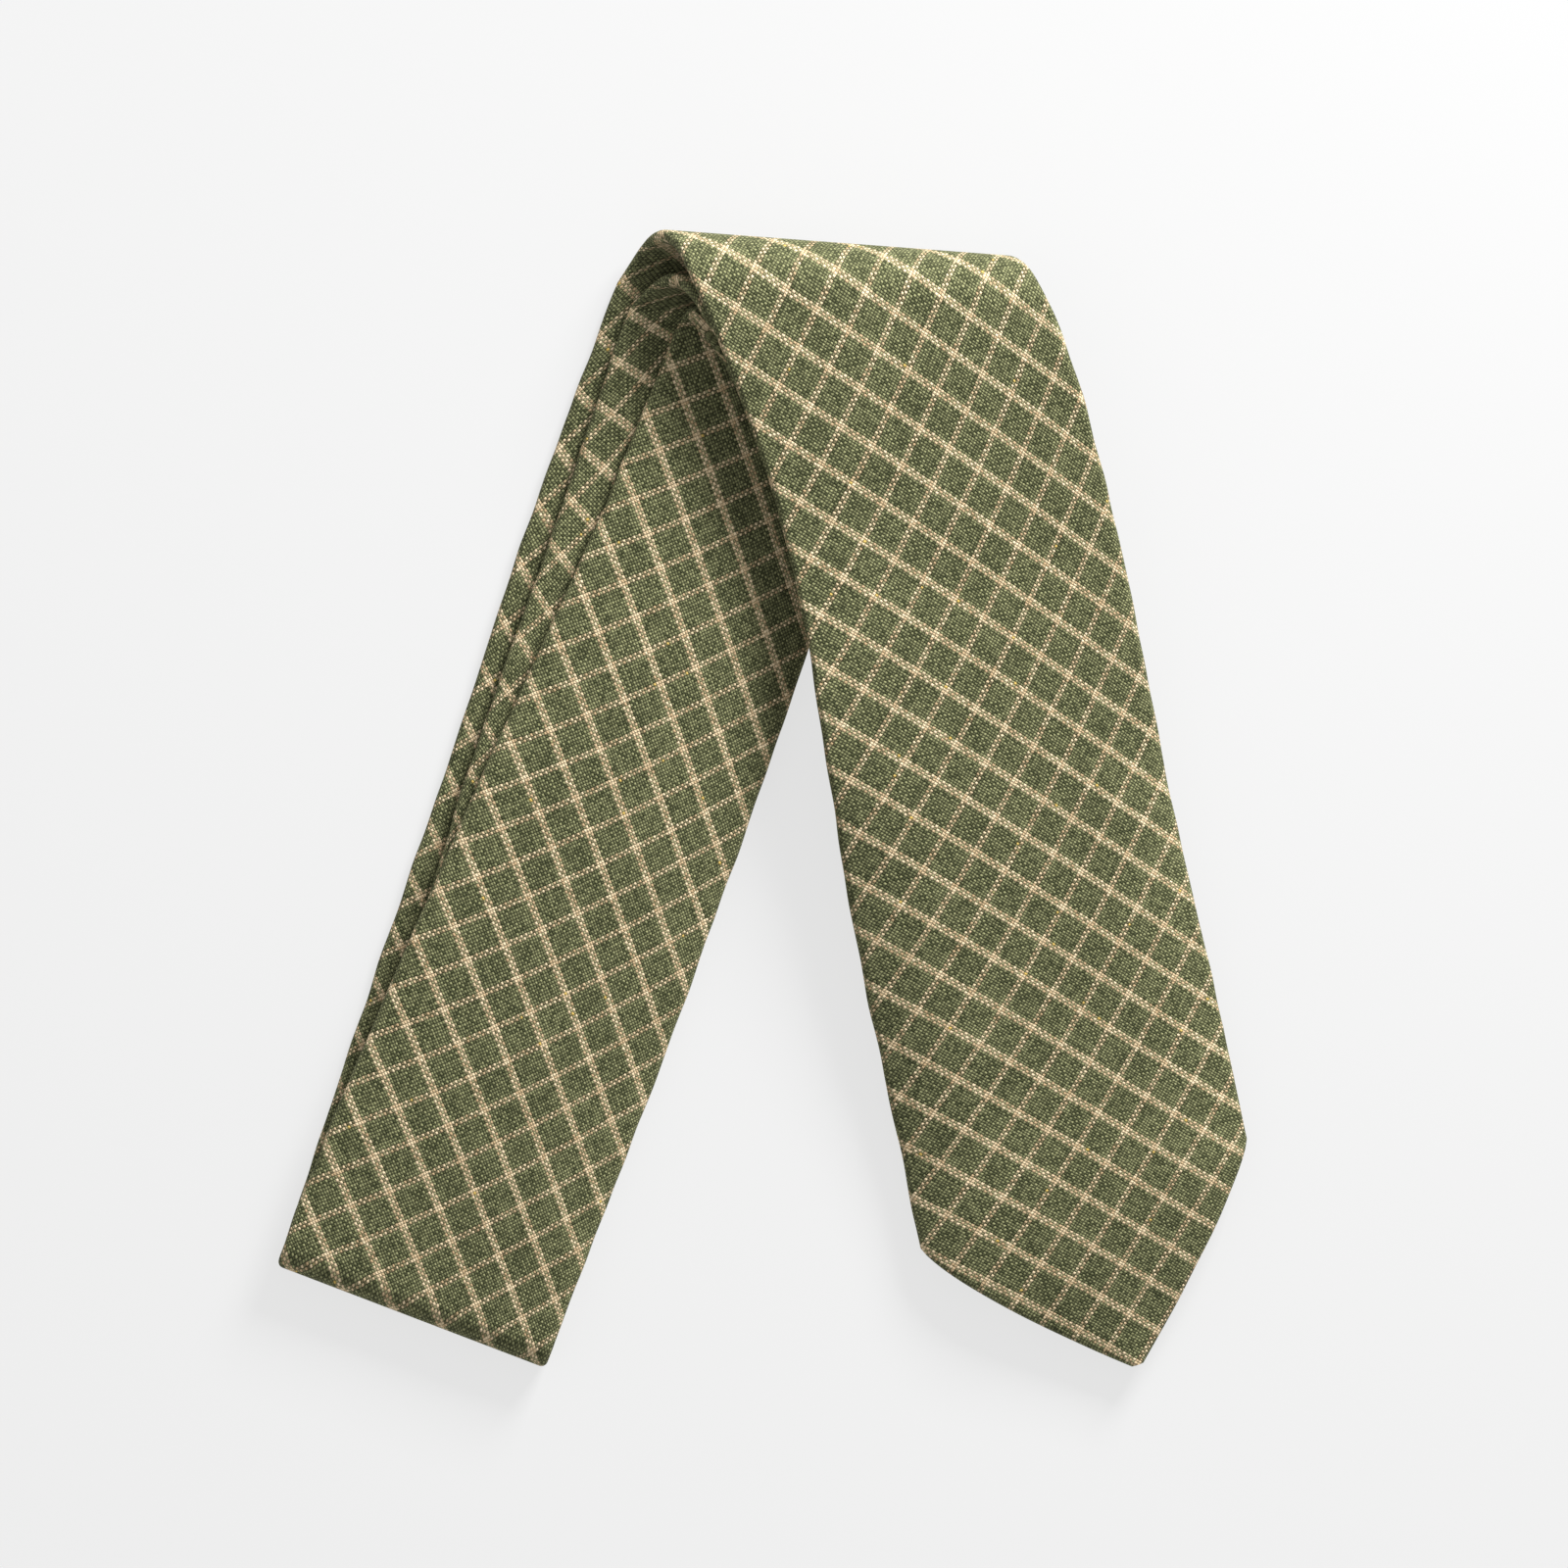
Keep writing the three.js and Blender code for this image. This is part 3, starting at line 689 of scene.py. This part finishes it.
def makePlainCloth(name):
    # an ordinary woven cloth, told apart by its thread: fluffy wool, fine twill lining or smooth satin tape
    look = plainCloths[name]
    material, add, shader, _ = newMaterial(name)
    place = add("TexCoord").outputs["Object"]
    turned = add("Mapping", {"Vector": place, "Rotation": (0, 0, math.radians(38))})
    scale = 1 / (look["thread"] * mm)
    split = add("SeparateXYZ", (turned,))
    weave = 1.0
    for k in (0, 1):
        angle = add("Math", (split.outputs[k], math.pi * scale), operation="MULTIPLY")
        thread = add("Math", (angle,), operation="SINE")
        weave = add("Math", (weave, thread), operation="MULTIPLY")
    fluff = add("TexNoise", {"Vector": turned, "Scale": scale * 0.7, "Detail": 4.0})
    mix = add("Math", (weave, 0.3, fluff), operation="MULTIPLY_ADD")
    colour = add("Mix", {0: mix, 6: linear(look["dark"]), 7: linear(look["light"])}, data_type="RGBA")
    bump = add("Bump", {"Strength": 0.7, "Distance": look["thread"] * mm * 0.25, "Height": mix})
    dress(material, shader, colour, bump, Roughness=look["roughness"], Sheen_Weight=look["sheen"])
    return material


spunThread = {"light": "#8b9660", "dark": "#66713f", "twist": 900.0, "relief": 0.00004, "roughness": 0.6}


def makeThread():
    # spun sewing thread: a low lustre, with its twist showing as slanting ridges
    material, add, shader, _ = newMaterial("spunSewingThread")
    place = add("TexCoord").outputs["Object"]
    twist = add("TexWave", {"Vector": place, "Scale": spunThread["twist"], "Distortion": 1.0},
          bands_direction="DIAGONAL").outputs[1]
    colour = add("Mix", {0: twist, 6: linear(spunThread["dark"]), 7: linear(spunThread["light"])},
           data_type="RGBA")
    bump = add("Bump", {"Strength": 0.6, "Distance": spunThread["relief"], "Height": twist})
    dress(material, shader, colour, bump, Roughness=spunThread["roughness"])
    return material


shellCotton = makeCottonCheck("brushedCottonCheck")
woolCloth = makePlainCloth("brushedWoolInterlining")
liningCloth = makePlainCloth("greenLiningTwill")
labelCloth = makePlainCloth("creamSatinLabel")
threadLook = makeThread()
print("materials made")


# the pieces of the shell and of the wool inside it, with the nodes that each stands for
def rowAt(key, down):
    first, last = spans[key]
    return min(range(first, last), key=lambda i: abs(strip[i]["down"] - down))


bladeSplit = rowAt("bladeFront", 40)   # above this the blade's cloth belongs to the piece round the apex
toeStart = spans["toe"][0] - 1
topEnd = spans["inner"][0] - 1
tailStart = spans["tailEnd"][0]
shellPieces = {
    "blade_cloth": (0, bladeSplit, ["blade_shell_lower"]),
    "apex_and_back_cloth": (bladeSplit, toeStart, ["blade_shell_upper", "blade_shell_apex_fold",
                                                   "blade_shell_back"]),
    "top_cloth": (toeStart, topEnd, ["blade_shell_toe_fold", "blade_shell_top"]),
    "neck_cloth": (topEnd, tailStart, ["blade_shell_inner_fold", "neck_shell_under", "neck_shell_heel_fold",
                                       "neck_shell_middle", "tail_shell_middle", "tail_shell_apex_fold"]),
    "tail_cloth": (tailStart, len(strip) - 1, ["tail_shell_end"]),
}
woolPieces = {
    "blade_wool": ["interlining_blade"],
    "apex_and_back_wool": ["interlining_blade_upper", "interlining_apex_fold", "interlining_back"],
    "top_wool": ["interlining_toe_fold", "interlining_top"],
    "neck_wool": ["interlining_inner_fold", "interlining_under", "interlining_heel_fold",
                  "interlining_middle", "interlining_middle_fold"],
    "tail_wool": ["interlining_tail"],
}
interlining = {"half": 0.5, "inset": 1.05, "setback": 5, "columns": 14, "everyRow": 2,
               "slimAbove": (14, 42), "slimTo": 0.6}   # trimmed near the apex, so the folds turn freely


def woolShare(row):
    # how much of the sleeve's width and of its own thickness the wool keeps at a row
    low, high = interlining["slimAbove"]
    return interlining["slimTo"] + (1 - interlining["slimTo"]) * smooth(row["down"], low, high)


def woolMesh(name, first, last, material):
    # a flat band of rows inside the sleeve, shaped as the sleeve is
    rings = []
    for i in sorted({*range(first, last + 1, interlining["everyRow"]), last}):
        row = strip[i]
        left, right = row["sides"]
        share = woolShare(row)
        inset = min(interlining["inset"] + (right - left) * (1 - share) / 2, (right - left) * 0.4)
        side = np.linspace(left + inset, right - inset, interlining["columns"])
        half = np.full(len(side), interlining["half"] * (share ** 3))
        rings.append(np.concatenate([layRow(row, side, half), layRow(row, side[::-1], -half)]))
    return ringMesh(name, rippled(np.array(rings)), material)


def ringMesh(name, rings, material):
    # a closed body from rings of points, its ends filled
    count = rings.shape[1]
    points = toWorld(rings.reshape(-1, 3))
    faces = []
    for i in range(len(rings) - 1):
        for j in range(count):
            k = (j + 1) % count
            faces.append((i * count + j, i * count + k, (i + 1) * count + k, (i + 1) * count + j))
    half = count // 2
    for base, flip in ((0, False), ((len(rings) - 1) * count, True)):
        for j in range(half - 1):
            quad = (base + j, base + count - 1 - j, base + count - 2 - j, base + j + 1)
            faces.append(quad[::-1] if flip else quad)
    if volumeOf(points, faces) < 0:
        faces = [f[::-1] for f in faces]
    obj = newMesh(name, points, faces, material)
    obj.data.set_sharp_from_angle(angle=math.radians(40))
    return obj


built = {}
for name, (first, last, nodes) in shellPieces.items():
    built[name] = sleeveMesh(name, first, last, shellCotton)
    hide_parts(*nodes)
for name, nodes in woolPieces.items():
    first, last, _ = shellPieces[name.replace("wool", "cloth")]
    while strip[first]["name"] == "bladeFront" and strip[first]["down"] > bladeTip - interlining["setback"]:
        first += 1
    while strip[last]["name"] == "tailEnd" and strip[last]["down"] > tailTip - interlining["setback"]:
        last -= 1
    built[name] = woolMesh(name, first, last, woolCloth)
    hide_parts(*nodes)
print("cloth and wool laid:", {k: len(v.data.polygons) for k, v in built.items()})


# the back of the two points: lining, keeper loop and label
trims = {
    "tipping": {"level": -0.78, "half": 0.11, "inset": 3.0, "short": 7, "tuck": 4, "columns": 24},
    "keeper": {"distance": 92, "length": 12, "width": 50, "thickness": 0.5, "bow": 0.25, "columns": 40,
               "checkTurn": 31, "yarnPitch": (0.594, 0.707)},
    "label": {"distance": 112, "length": 14, "width": 30, "thickness": 0.3, "bow": 0.1, "columns": 24},
}


def tippingRows(runName, until):
    first, last = spans[runName]
    start = runs[runName]["opening"] - trims["tipping"]["tuck"]
    return [row for row in strip[first:last] if start <= row["down"] <= until]


def tippingMesh(name, runName, until):
    # the lining sheet that fills the open back of a point, tucked under the flaps
    look = trims["tipping"]
    rings = []
    for row in tippingRows(runName, until):
        left, right = row["sides"]
        inset = min(look["inset"], (right - left) * 0.45)
        side = np.linspace(left + inset, right - inset, look["columns"])
        upper = layRow(row, side, np.full(len(side), look["level"] + look["half"]))
        lower = layRow(row, side[::-1], np.full(len(side), look["level"] - look["half"]))
        rings.append(np.concatenate([upper, lower]))
    return ringMesh(name, np.array(rings), liningCloth)


def runRowAt(name, down):
    # one row of a run, without the edges' wave
    row = runRows(name, down, down + 1)[0]
    row["wave"] = (0.0, 0.0)
    return row


def bandMesh(name, look, material):
    # a narrow band across the blade's back, its ends rounded
    f = np.linspace(-1, 1, look["columns"])
    bow = look["bow"] * (1 - f * f)
    face = -middle - makeUp["clearance"] - look["thickness"] / 2
    rings = []
    for step in np.linspace(-1, 1, 13):
        row = runRowAt("bladeFront", look["distance"] + look["length"] * (step + 1) / 2)
        edge = np.sqrt(np.clip(1 - step ** 8, 0.02, 1))
        half = look["thickness"] / 2 * np.sqrt(np.clip(1 - np.abs(f) ** 30, 0.05, 1)) * edge
        side = sum(row["sides"]) / 2 + f * look["width"] / 2
        upper = layRow(row, side, face - bow + half)
        lower = layRow(row, side[::-1], (face - bow - half)[::-1])
        rings.append(np.concatenate([upper, lower]))
    obj = ringMesh(name, np.array(rings), material)
    if "yarnPitch" in look:
        turn = math.radians(look["checkTurn"])
        places = np.array([v.co[:2] for v in obj.data.vertices]) / mm
        along = places @ (math.cos(turn), math.sin(turn)) / look["yarnPitch"][0]
        over = places @ (-math.sin(turn), math.cos(turn)) / look["yarnPitch"][1]
        yarnsOnto(obj.data, np.stack([along, over], 1))
    return obj


short = trims["tipping"]["short"]
tippings = {"blade_tipping_cloth": ("bladeFront", bladeTip - short, "blade_tipping", "blade"),
            "tail_tipping_cloth": ("tailEnd", tailTip - short, "tail_tipping", "left_leg")}
bands = {"keeper_loop_band": ("keeper", shellCotton, "keeper_loop", "checked_cotton"),
         "blank_label_tape": ("label", labelCloth, "blank_label", "label_tape")}
for name, (runName, until, node, body) in tippings.items():
    built[name] = tippingMesh(name, runName, until)
    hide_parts(node)
    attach(built[name], body)
for name, (key, material, node, slotName) in bands.items():
    built[name] = bandMesh(name, trims[key], material)
    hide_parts(node)
    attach(built[name], "blade")

# hand stitches along the back seam, and the bar tacks, mm
stitching = {
    "slip": {"spacing": 7.0, "length": 2.0, "thickness": 0.32, "slant": 28.0},
    "tack": {"spacing": 0.34, "length": 2.6, "thickness": 0.32, "slant": 4.0},
}


def stitchTree():
    # stitches of one thread repeated along a seam line: each a short bar across the seam, a little slanted
    tree = bpy.data.node_groups.new("stitchesAlongSeam", "GeometryNodeTree")
    add = partial(addNode, tree)
    face = tree.interface
    face.new_socket("Seam", in_out="INPUT", socket_type="NodeSocketGeometry")
    for label in ("Spacing", "Length", "Thickness", "Slant"):
        face.new_socket(label, in_out="INPUT", socket_type="NodeSocketFloat")
    face.new_socket("Thread", in_out="INPUT", socket_type="NodeSocketMaterial")
    face.new_socket("Stitches", in_out="OUTPUT", socket_type="NodeSocketGeometry")
    start = add("NodeGroupInput").outputs
    line = add("GeometryNodeMeshToCurve", {"Mesh": start["Seam"]})
    spaced = add("GeometryNodeResampleCurve", {"Curve": line, "Length": start["Spacing"]}, mode="LENGTH")
    radius = add("Math", (start["Thickness"], 0.5), operation="MULTIPLY")
    bar = add("GeometryNodeMeshCylinder", {"Vertices": 8, "Side Segments": 3, "Fill Segments": 1,
                                           "Radius": radius, "Depth": start["Length"]})
    tangent = add("GeometryNodeInputTangent")
    along = add("FunctionNodeAlignRotationToVector", {"Vector": tangent}, axis="Y")
    spread = add("FunctionNodeRandomValue", {2: -0.15, 3: 0.15, "Seed": 4}, data_type="FLOAT")
    slant = add("Math", (start["Slant"], spread.outputs[1]), operation="ADD")
    turn = add("CombineXYZ", (0.0, 0.0, slant))
    lean = add("CombineXYZ", (0.0, math.pi / 2, 0.0))
    for angles in (turn, lean):
        rotation = add("FunctionNodeEulerToRotation", (angles,))
        along = add("FunctionNodeRotateRotation", {"Rotation": along, "Rotate By": rotation},
              rotation_space="LOCAL")
    placed = add("GeometryNodeInstanceOnPoints", {"Points": spaced, "Instance": bar, "Rotation": along})
    real = add("GeometryNodeRealizeInstances", (placed,))
    dressed = add("GeometryNodeSetMaterial", {"Geometry": real, "Material": start["Thread"]})
    add("NodeGroupOutput", {"Stitches": dressed})
    return tree


seamTree = stitchTree()


def seamStitches(name, lines, kind):
    # lines are lists of points in metres; returns one plain mesh of stitches
    look = stitching[kind]
    points, edges = [], []
    for line in lines:
        base = len(points)
        points += [tuple(p) for p in line]
        edges += [(base + k, base + k + 1) for k in range(len(line) - 1)]
    mesh = bpy.data.meshes.new(name + "_seam")
    mesh.from_pydata(points, edges, [])
    obj = newObject(name, mesh)
    modifier = obj.modifiers.new("stitches", "NODES")
    modifier.node_group = seamTree
    sockets = {item.name: item.identifier for item in seamTree.interface.items_tree if item.in_out == "INPUT"}
    for label in ("spacing", "length", "thickness"):
        modifier[sockets[label.capitalize()]] = look[label] * mm
    modifier[sockets["Slant"]] = math.radians(look["slant"])
    modifier[sockets["Thread"]] = threadLook
    bpy.context.view_layer.update()
    final = bpy.data.meshes.new_from_object(obj.evaluated_get(bpy.context.evaluated_depsgraph_get()))
    obj.modifiers.clear()
    obj.data = final
    final.polygons.foreach_set("use_smooth", [True] * len(final.polygons))
    if not final.materials:
        final.materials.append(threadLook)
    return obj


def seamLine(runName, start, end):
    line = []
    for down in np.arange(start, end + 0.1, 2.0):
        row = runRowAt(runName, down)
        mid = np.array([sum(row["sides"]) / 2])
        line.append(layRow(row, mid, np.array([-middle + 0.1]))[0])
    return toWorld(line)


seams = {
    "blade_seam_stitches": ("blade", [("bladeFront", 64, 140)], ["slip_stitch_blade"]),
    "right_leg_seam_stitches": ("right_leg",
                                [("bladeFront", 24, 60), ("neckUnder", 32, 205), ("middleRun", 32, 205)],
                                ["slip_stitch_upper", "slip_stitch_under", "slip_stitch_middle"]),
    "left_leg_seam_stitches": ("left_leg",
                               [("bladeBack", 24, 232), ("bladeTop", 32, 232), ("tailEnd", 32, 168)],
                               ["slip_stitch_back", "slip_stitch_top", "slip_stitch_tail"]),
    "blade_bar_tack_threads": ("blade", [("bladeFront", 142.4, 145.6)], ["blade_bar_tack"]),
    "tail_bar_tack_threads": ("left_leg", [("tailEnd", 170.4, 173.6)], ["tail_bar_tack"]),
}
for name, (body, stretches, nodes) in seams.items():
    kind = "slip" if name.endswith("stitches") else "tack"
    built[name] = seamStitches(name, [seamLine(*stretch) for stretch in stretches], kind)
    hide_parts(*nodes)
    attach(built[name], body)
print("trims and stitches made")

# How the long pieces move. Some lie on one body; the others are listed with the bodies before and after and
# two points (across, down, height), close together at the neck's small bends, but here they only keep their
# place.
lieOn = {"top": "left_leg", "tail": "left_leg"}
passOver = {
    "apex_and_back": ("left_leg", "right_leg", (0, 12, 3.2), (0, 12, 17.8)),
    "neck": ("left_leg", "right_leg", (0, 0, 11.9), (0, 0.34, 15.3)),
    "blade": ("right_leg", "blade", (centreLine("right", 50), 50, 21.4), (centreLine("right", 76), 76, 21.4)),
}
for kind in ("_cloth", "_wool"):
    for piece, body in lieOn.items():
        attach(built[piece + kind], body)
    for piece, (bodyBefore, bodyAfter, *ends) in passOver.items():
        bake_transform(built[piece + kind])


# each cloth piece's cut size
def flatSize(first, last, share):
    # the mean width by the length down the middle; share gives the widths across that a row's cloth takes
    widths = [(row["sides"][1] - row["sides"][0]) * share(row) for row in strip[first:last + 1]]
    length = strip[last]["length"] - strip[first]["length"]
    return (float(np.mean(widths)) * mm, length * mm)


for name, (first, last, nodes) in shellPieces.items():
    flatSize(first, last, lambda row: 2)
    flatSize(first, last, woolShare)

# floor, light and camera
studio = {
    "floor": "#f1f1f1", "floorBody": "#d8d8d8", "floorGlow": 0.8, "floorHalf": 3.0, "floorDrop": 0.0002,   # m
    "lens": 300, "sensor": 36, "field": 351, "focusHeight": 10, "aim": (-13.34, -120.95),   # mm, from apex
    "sky": 0.5,
}


def makeFloor():
    # a pale light table: lit from within as much as from above, so shadows on it stay faint
    material, add, shader, output = newMaterial("paleLightTable")
    shader.inputs["Base Color"].default_value = linear(studio["floorBody"])
    shader.inputs["Roughness"].default_value = 0.9
    shader.inputs["Specular IOR Level"].default_value = 0.0
    glow = add("Emission", {"Color": linear(studio["floor"]), "Strength": 1.0})
    mix = add("MixShader", (studio["floorGlow"], shader, glow))
    material.node_tree.links.new(mix.outputs[0], output.inputs[0])
    half, drop = studio["floorHalf"], studio["floorDrop"]
    mesh = bpy.data.meshes.new("floor")
    corners = [(-half, -half), (half, -half), (half, half), (-half, half)]
    mesh.from_pydata([(x, y, -drop) for x, y in corners], [], [(0, 1, 2, 3)])
    mesh.materials.append(material)
    newObject("floor", mesh)


lights = {
    "keySoftbox": {"from": (0.5, 0.82, 0.52), "size": 0.4, "power": 23.5},
    "fillSoftbox": {"from": (-0.6, -0.5, 1.5), "size": 1.2, "power": 1},
}


def makeLights():
    for name, look in lights.items():
        data = bpy.data.lights.new(name, "AREA")
        data.size = look["size"]
        data.energy = look["power"]
        obj = newObject(name, data)
        obj.location = look["from"]
        obj.rotation_mode = "QUATERNION"
        obj.rotation_quaternion = (-Vector(look["from"])).to_track_quat("-Z", "Y")
    world = bpy.data.worlds.new("softRoom")
    world.use_nodes = True
    world.node_tree.nodes["Background"].inputs[0].default_value = (1, 1, 1, 1)
    world.node_tree.nodes["Background"].inputs[1].default_value = studio["sky"]
    scene.world = world


def makeCamera():
    data = bpy.data.cameras.new("camera")
    data.lens = studio["lens"]
    data.sensor_width = studio["sensor"]
    data.clip_start = 0.05
    data.clip_end = 20
    obj = newObject("camera", data)
    away = studio["field"] * mm * studio["lens"] / data.sensor_width
    aim = (apexX + studio["aim"][0], apexY + studio["aim"][1])
    obj.location = Vector((*aim, studio["focusHeight"])) * mm + Vector((0, 0, away))
    scene.camera = obj


makeFloor()
makeLights()
makeCamera()
scene.view_settings.view_transform = "Standard"
scene.view_settings.look = "None"
print("stage set")
